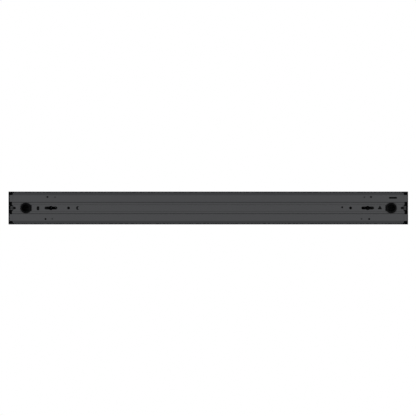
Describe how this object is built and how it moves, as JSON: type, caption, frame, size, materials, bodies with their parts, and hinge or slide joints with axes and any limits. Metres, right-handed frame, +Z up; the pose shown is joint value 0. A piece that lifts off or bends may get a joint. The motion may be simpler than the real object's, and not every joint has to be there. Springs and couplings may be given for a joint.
{
  "type": "led strip batten",
  "caption": "Long surface-mounted LED strip batten: folded dark grey steel channel with keyholes and cable entries in its back, black end caps, gear tray and push-fit opal lens.",
  "frame": {"origin": "midway between the two keyholes, on the mounting face", "axes": "+X runs along the batten, +Z is up when it hangs on a wall, and -Y points at the wall"},
  "size_m": [1.2192, 0.066, 0.1006],
  "materials": {
    "grey_paint": "satin powder coat",
    "black_plastic": "fine moulded texture",
    "rivet_steel": "dark phosphate",
    "black_screw": "black oxide",
    "zinc_steel": "zinc plated",
    "white_paint": "white gloss powder coat",
    "board_white": "white solder mask",
    "led_yellow": "phosphor gel",
    "white_plastic": "moulded nylon",
    "opal": "opal polycarbonate",
    "circuit_green": "green solder mask",
    "ferrite": "ferrite and tape",
    "capacitor_sleeve": "heat-shrunk sleeve",
    "copper": "tinned spring copper",
    "grey_plastic": "moulded polyamide",
    "orange_plastic": "moulded polyamide",
    "lead_black": "PVC insulation",
    "lead_white": "PVC insulation",
    "lead_green": "PVC insulation",
    "gasket_foam": "closed-cell foam"
  },
  "bodies": {
    "root": {"back_channel": "grey_paint", "bracket_rivets": "rivet_steel", "end_cap_left": "black_plastic", "end_cap_right": "black_plastic", "entry_bushing_left": "black_plastic", "entry_bushing_right": "black_plastic", "selector_housing": "black_plastic", "tray_grommet": "black_plastic", "end_cap_screws": "black_screw", "tray_bracket_left": "black_screw", "tray_bracket_right": "black_screw", "tray_screws": "zinc_steel", "driver_screws": "zinc_steel", "terminal_screws": "zinc_steel", "lens_clips": "zinc_steel", "driver_base": "zinc_steel", "driver_cover": "zinc_steel", "terminal_pin": "zinc_steel", "earth_screw": "zinc_steel", "gear_tray": "white_paint", "led_board_upper_left": "board_white", "led_board_upper_right": "board_white", "led_board_lower_left": "board_white", "led_board_lower_right": "board_white", "led_packages_upper_left": "led_yellow", "led_packages_upper_right": "led_yellow", "led_packages_lower_left": "led_yellow", "led_packages_lower_right": "led_yellow", "board_rivets": "white_plastic", "board_jumpers": "white_plastic", "feed_connectors": "white_plastic", "driver_connectors": "white_plastic", "driver_standoffs": "white_plastic", "lead_clips": "white_plastic", "driver_board": "circuit_green", "selector_board": "circuit_green", "driver_transformer": "ferrite", "driver_choke": "ferrite", "driver_capacitors": "capacitor_sleeve", "terminal_clamps": "copper", "earth_tag": "copper", "terminal_block": "grey_plastic", "line_lead": "lead_black", "neutral_lead": "lead_white", "earth_lead": "lead_green", "output_lead_upper": "lead_white", "output_lead_lower": "lead_white", "selector_lead": "lead_black", "selector_gasket": "gasket_foam"},
    "diffuser": {"diffuser_lens": "opal"},
    "power_selector": {"power_knob": "black_plastic", "power_wiper": "copper"},
    "colour_selector": {"colour_knob": "black_plastic", "colour_wiper": "copper"},
    "line_lever": {"terminal_lever_line": "orange_plastic"},
    "neutral_lever": {"terminal_lever_neutral": "orange_plastic"},
    "earth_lever": {"terminal_lever_earth": "orange_plastic"}
  },
  "joints": [
    {"name": "lens_release", "type": "slide", "parent": "root", "child": "diffuser", "axis": [0, 1, 0], "range_m": [0, 0.04]},
    {"name": "power_selector_slide", "type": "slide", "parent": "root", "child": "power_selector", "axis": [1, 0, 0], "range_m": [-0.003, 0.003]},
    {"name": "colour_selector_slide", "type": "slide", "parent": "root", "child": "colour_selector", "axis": [1, 0, 0], "range_m": [-0.003, 0.003]},
    {"name": "line_lever_hinge", "type": "hinge", "parent": "root", "child": "line_lever", "pos_m": [-0.24815, 0.023, 0.008], "axis": [0, 0, 1], "range_deg": [0, 80]},
    {"name": "neutral_lever_hinge", "type": "hinge", "parent": "root", "child": "neutral_lever", "pos_m": [-0.24815, 0.023, 0], "axis": [0, 0, 1], "range_deg": [0, 80]},
    {"name": "earth_lever_hinge", "type": "hinge", "parent": "root", "child": "earth_lever", "pos_m": [-0.24815, 0.023, -0.008], "axis": [0, 0, 1], "range_deg": [0, 80]}
  ]
}
